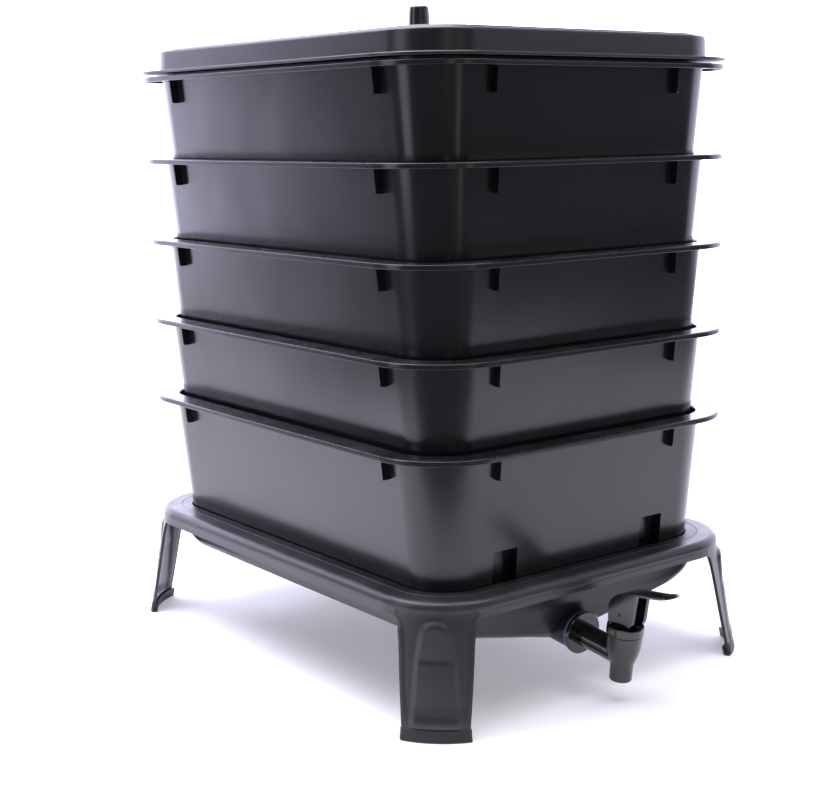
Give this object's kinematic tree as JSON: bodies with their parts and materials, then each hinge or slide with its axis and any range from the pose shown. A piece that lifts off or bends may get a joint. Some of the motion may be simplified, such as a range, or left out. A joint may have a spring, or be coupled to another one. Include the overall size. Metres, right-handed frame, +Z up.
{
  "type": "wormery",
  "caption": "Wormery of nesting plastic trays under a lifting lid, over a sump with a lever tap, on a stand with splayed legs.",
  "frame": {"origin": "on the floor, in the middle of the whole object's footprint, tap and lever included", "axes": "+Z up, -Y towards the tap, +X to the right as seen from the tap"},
  "size_m": [0.4028, 0.6058, 0.6112],
  "materials": {
    "stand_plastic": "satin moulded charcoal plastic",
    "foot_plastic": "dark, slightly soft moulded plastic",
    "sump_plastic": "satin moulded charcoal plastic",
    "tray_plastic": "smooth, softly glossy charcoal plastic",
    "lid_plastic": "satin charcoal plastic",
    "knob_plastic": "polished dark plastic",
    "tap_plastic": "polished black plastic with a slight olive cast",
    "nut_plastic": "plain black plastic",
    "blue_seal": "smooth blue rubber",
    "dark_rubber": "plain dark rubber",
    "steel": "plain stainless steel"
  },
  "bodies": {
    "stand": {"base_stand": "stand_plastic", "foot_front_left": "foot_plastic", "foot_front_right": "foot_plastic", "foot_back_right": "foot_plastic", "foot_back_left": "foot_plastic", "sump": "sump_plastic", "tap_body": "tap_plastic", "tap_gasket": "blue_seal", "tap_seal_ring": "dark_rubber", "tap_nut": "nut_plastic", "tap_bonnet": "tap_plastic"},
    "tray_5_body": {"tray_5": "tray_plastic"},
    "tray_4_body": {"tray_4": "tray_plastic"},
    "tray_3_body": {"tray_3": "tray_plastic"},
    "tray_2_body": {"tray_2": "tray_plastic"},
    "tray_1_body": {"tray_1": "tray_plastic"},
    "lid_body": {"lid": "lid_plastic", "lid_knob": "knob_plastic", "knob_washer": "steel", "knob_screw": "steel"},
    "stem_body": {"tap_stem": "nut_plastic", "tap_valve_seal": "dark_rubber", "tap_spring": "steel"},
    "lever_body": {"tap_lever": "tap_plastic", "lever_pin": "nut_plastic"}
  },
  "joints": [
    {"name": "tray_5_lift", "type": "slide", "parent": "stand", "child": "tray_5_body", "axis": [0, 0, 1], "range_m": [0, 0.07]},
    {"name": "tray_4_lift", "type": "slide", "parent": "tray_5_body", "child": "tray_4_body", "axis": [0, 0, 1], "range_m": [0, 0.07]},
    {"name": "tray_3_lift", "type": "slide", "parent": "tray_4_body", "child": "tray_3_body", "axis": [0, 0, 1], "range_m": [0, 0.07]},
    {"name": "tray_2_lift", "type": "slide", "parent": "tray_3_body", "child": "tray_2_body", "axis": [0, 0, 1], "range_m": [0, 0.07]},
    {"name": "tray_1_lift", "type": "slide", "parent": "tray_2_body", "child": "tray_1_body", "axis": [0, 0, 1], "range_m": [0, 0.07]},
    {"name": "lid_lift", "type": "slide", "parent": "tray_1_body", "child": "lid_body", "axis": [0, 0, 1], "range_m": [0, 0.06]},
    {"name": "stem_slide", "type": "slide", "parent": "stand", "child": "stem_body", "axis": [0, -0.1219, 0.9925], "range_m": [0, 0.0035], "stiffness_N_per_m": 250, "springref_m": -0.008, "deforming": ["tap_spring"]},
    {"name": "lever_hinge", "type": "hinge", "parent": "stem_body", "child": "lever_body", "pos_m": [0, -0.24369, 0.08226], "axis": [1, 0, 0], "range_deg": [0, 25]}
  ],
  "couplings": [
    {"joint": "lever_hinge", "follows": "stem_slide", "rad_per_m": 124.6}
  ]
}
